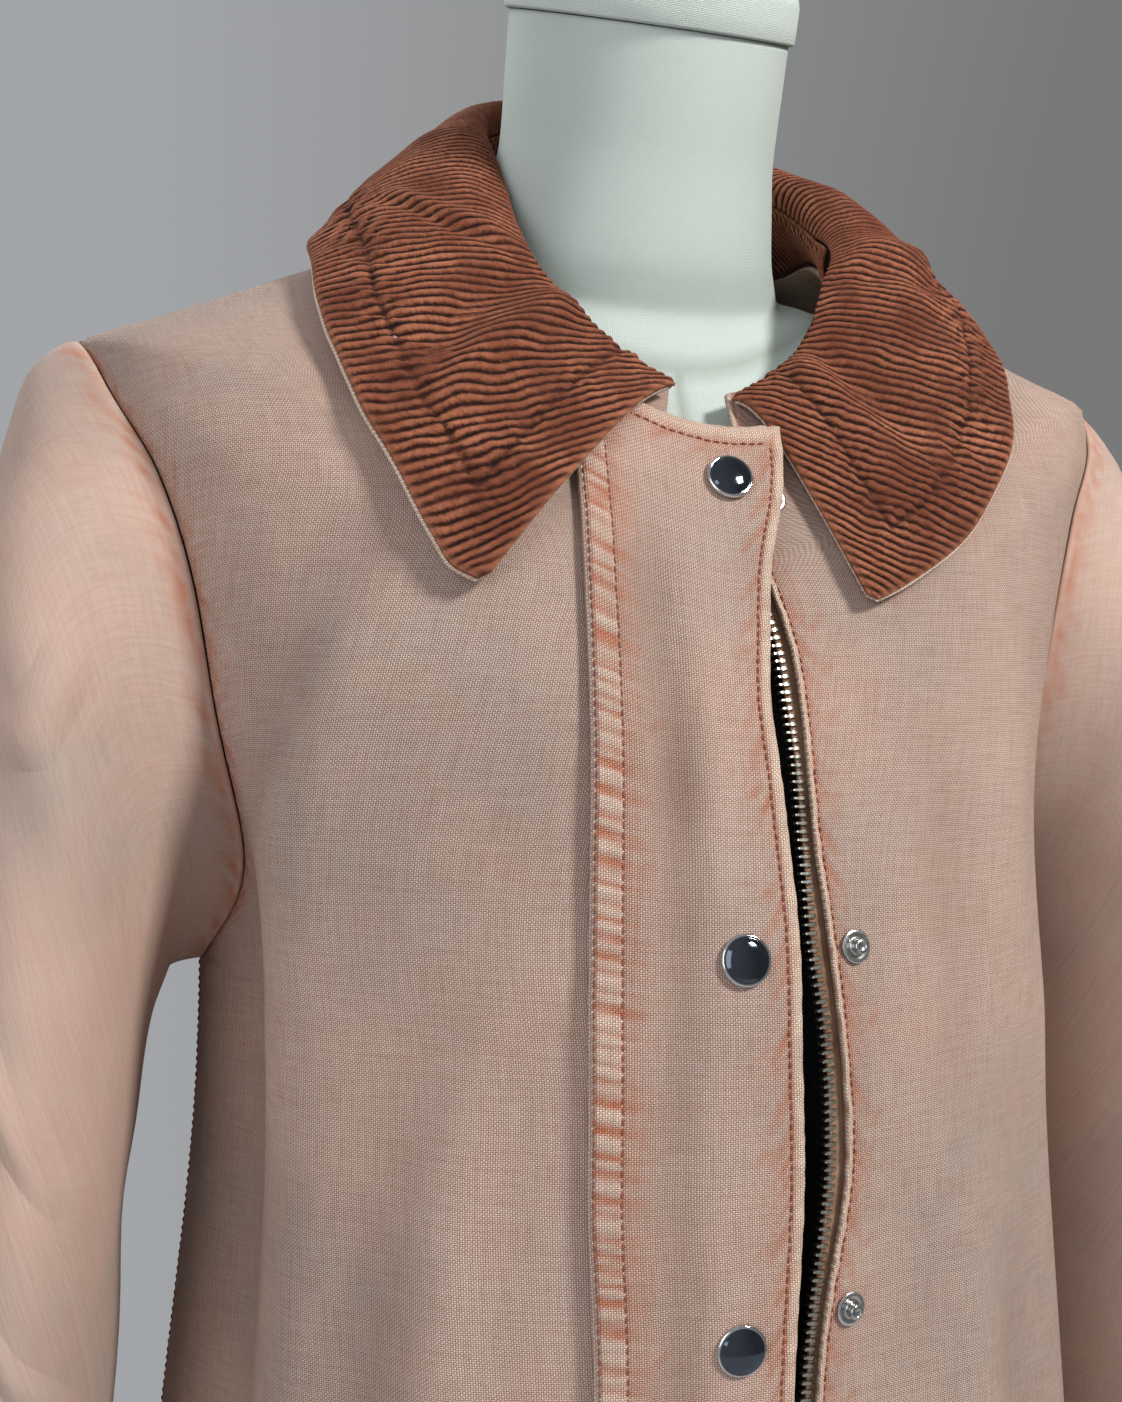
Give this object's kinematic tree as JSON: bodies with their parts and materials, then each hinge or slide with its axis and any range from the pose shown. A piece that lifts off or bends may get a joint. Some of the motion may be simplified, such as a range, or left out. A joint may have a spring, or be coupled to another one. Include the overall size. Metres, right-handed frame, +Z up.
{
  "type": "barn jacket on a dress form",
  "caption": "Open canvas barn jacket with a wide corduroy collar, a storm flap with snaps over a metal zip, hanging on a limbless dress form.",
  "frame": {"origin": "on the floor, under the middle of the stand's base", "axes": "+Z up; the wearer looks along -Y, and the wearer's left side is +X"},
  "size_m": [0.5036, 0.38, 1.5229],
  "materials": {
    "canvas": "washed dusty-pink cotton canvas, worn pale at its edges",
    "corduroy": "rust wide-wale corduroy",
    "form_canvas": "pale plain canvas",
    "form_cap": "pale plain canvas, stretched over the cap",
    "zip_tape": "tan woven tape",
    "nickel": "worn nickel plate",
    "snap_metal": "dark mirror chrome",
    "painted_metal": "matt black paint"
  },
  "bodies": {
    "jacket_and_form": {"front_right": "canvas", "front_left": "canvas", "back": "canvas", "sleeve_right": "canvas", "sleeve_left": "canvas", "storm_flap": "canvas", "under_collar": "canvas", "collar": "corduroy", "collar_stand": "corduroy", "zip_tape_left": "zip_tape", "zip_tape_right": "zip_tape", "zip_teeth_left": "nickel", "zip_teeth_right": "nickel", "zip_box": "nickel", "zip_pin": "nickel", "zip_slider": "nickel", "dress_form": "form_canvas", "neck_cap": "form_cap", "stand_base": "painted_metal", "stand_pole": "painted_metal", "snap_cap_1": "snap_metal", "snap_cap_2": "snap_metal", "snap_cap_3": "snap_metal", "snap_cap_4": "snap_metal", "snap_cap_5": "snap_metal", "snap_cap_6": "snap_metal", "snap_stud_1": "snap_metal", "snap_stud_2": "snap_metal", "snap_stud_3": "snap_metal", "snap_stud_4": "snap_metal", "snap_stud_5": "snap_metal", "snap_stud_6": "snap_metal"},
    "zip_pull": {"zip_pull": "nickel"}
  },
  "joints": [
    {"name": "pull_hinge", "type": "hinge", "parent": "jacket_and_form", "child": "zip_pull", "pos_m": [0.01888, -0.15309, 0.73253], "axis": [-0.9809, -0.1945, 0.0006], "range_deg": [0, 150]}
  ]
}
